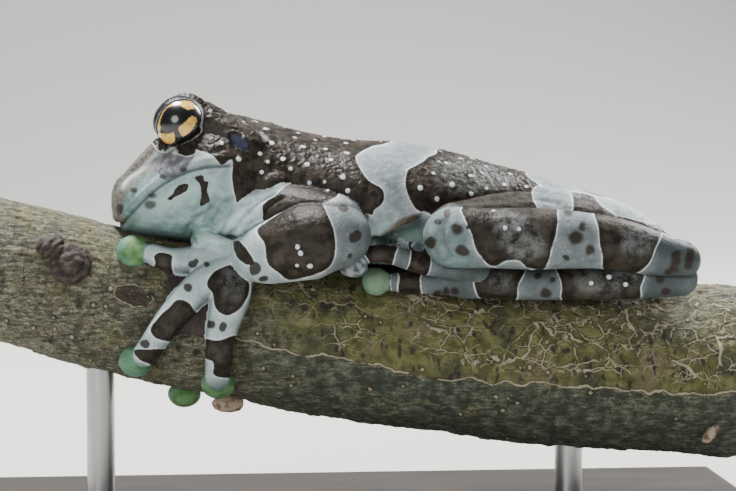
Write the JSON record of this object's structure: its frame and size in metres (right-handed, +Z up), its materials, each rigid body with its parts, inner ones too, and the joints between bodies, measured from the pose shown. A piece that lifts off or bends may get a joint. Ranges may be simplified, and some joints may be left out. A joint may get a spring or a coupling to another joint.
{
  "type": "amazon milk frog model",
  "caption": "Life-size tree frog with banded skin, resting with folded legs on a cut branch that thin rods hold over a flat base.",
  "frame": {"origin": "centre of the underside of the stand's base, on the floor", "axes": "+Z up; the frog faces -X along the branch; its left side is towards -Y"},
  "size_m": [0.118, 0.062, 0.0665],
  "materials": {
    "skin": "moist skin, dark brown with pale grey-blue bands",
    "eye": "wet gloss, gold iris with a black cross",
    "bark": "rough olive-grey bark",
    "stand_base": "satin black",
    "stand_rod": "brushed"
  },
  "bodies": {
    "root": {"head": "skin", "torso": "skin", "upper_arm_left": "skin", "upper_arm_right": "skin", "forearm_left": "skin", "forearm_right": "skin", "hand_left": "skin", "hand_right": "skin", "thigh_left": "skin", "thigh_right": "skin", "shank_left": "skin", "shank_right": "skin", "foot_left": "skin", "foot_right": "skin", "eye_left": "eye", "eye_right": "eye", "perch_branch": "bark", "stand_base": "stand_base", "stand_rod_front": "stand_rod", "stand_rod_rear": "stand_rod"}
  },
  "joints": []
}
